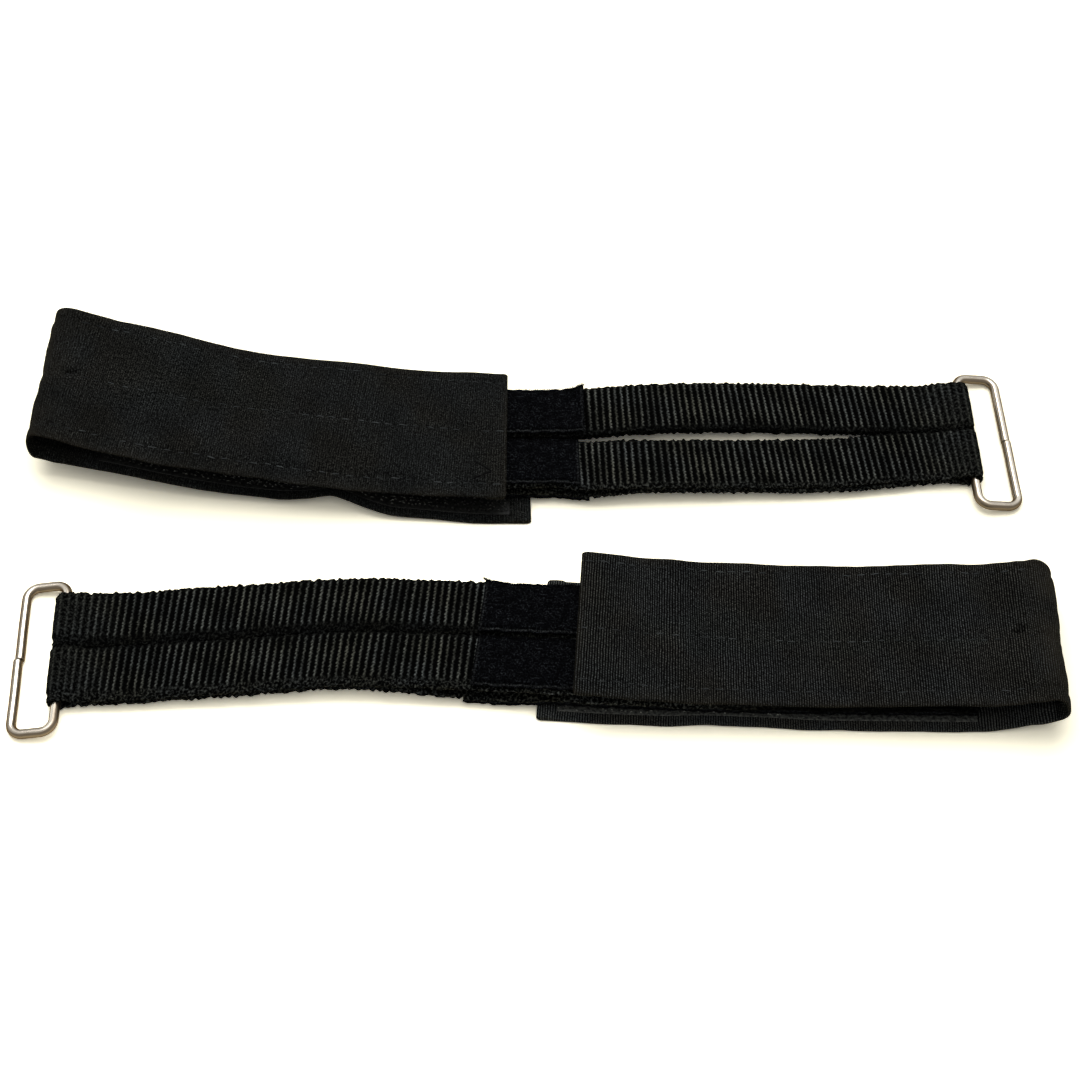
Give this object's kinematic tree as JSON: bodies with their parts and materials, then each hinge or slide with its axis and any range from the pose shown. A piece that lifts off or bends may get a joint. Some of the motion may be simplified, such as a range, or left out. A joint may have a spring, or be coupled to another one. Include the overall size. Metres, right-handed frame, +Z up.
{
  "type": "hook and loop cuff strap pair",
  "caption": "Pair of black hook-and-loop straps, each a folded fabric cuff round two ribbed webbing bands looped on a rectangular wire ring.",
  "frame": {"origin": "on the table under the middle of the pair's bounding box", "axes": "+X along the straps, towards the far strap's ring; +Y across the pair, towards the far strap; +Z up from the table"},
  "size_m": [0.3342, 0.152, 0.0252],
  "materials": {
    "nickel_wire": "worn nickel-plated steel wire",
    "nylon_webbing": "ribbed nylon webbing, black gone slightly brown",
    "loop_pile": "brushed loop pile, matt blue-black",
    "hook_tape": "black nylon hook tape",
    "cuff_twill": "black ribbed cuff fabric with stitched edges"
  },
  "bodies": {
    "strap_a": {"webbing_far_a": "nylon_webbing", "webbing_near_a": "nylon_webbing", "pile_top_far_a": "loop_pile", "pile_top_near_a": "loop_pile", "pile_under_far_a": "loop_pile", "pile_under_near_a": "loop_pile", "cuff_base_a": "cuff_twill", "hook_base_far_a": "hook_tape", "hook_base_near_a": "hook_tape"},
    "flap_a": {"cuff_flap_a": "cuff_twill", "hook_flap_far_a": "hook_tape", "hook_flap_near_a": "hook_tape"},
    "wire_a": {"ring_a": "nickel_wire"},
    "strap_b": {"webbing_far_b": "nylon_webbing", "webbing_near_b": "nylon_webbing", "pile_top_far_b": "loop_pile", "pile_top_near_b": "loop_pile", "pile_under_far_b": "loop_pile", "pile_under_near_b": "loop_pile", "cuff_base_b": "cuff_twill", "hook_base_far_b": "hook_tape", "hook_base_near_b": "hook_tape"},
    "flap_b": {"cuff_flap_b": "cuff_twill", "hook_flap_far_b": "hook_tape", "hook_flap_near_b": "hook_tape"},
    "wire_b": {"ring_b": "nickel_wire"}
  },
  "joints": [
    {"name": "ring_a_swing", "type": "hinge", "parent": "strap_a", "child": "wire_a", "pos_m": [0.14768, 0.03972, 0.0035], "axis": [0.0437, -0.999, 0], "range_deg": [0, 160]},
    {"name": "flap_a_open", "type": "hinge", "parent": "strap_a", "child": "flap_a", "pos_m": [-0.16432, 0.05298, 0.0178], "axis": [-0.0961, -0.9879, -0.1214], "range_deg": [0, 170]},
    {"name": "ring_b_swing", "type": "hinge", "parent": "strap_b", "child": "wire_b", "pos_m": [-0.14582, -0.04388, 0.0035], "axis": [-0.0333, 0.9994, 0], "range_deg": [0, 160]},
    {"name": "flap_b_open", "type": "hinge", "parent": "strap_b", "child": "flap_b", "pos_m": [0.16618, -0.04947, 0.01187], "axis": [0.0221, 0.9998, 0], "range_deg": [0, 170]},
    {"name": "strap_b_apart", "type": "slide", "parent": "strap_a", "child": "strap_b", "axis": [0, -1, 0], "range_m": [0, 0.2]}
  ]
}
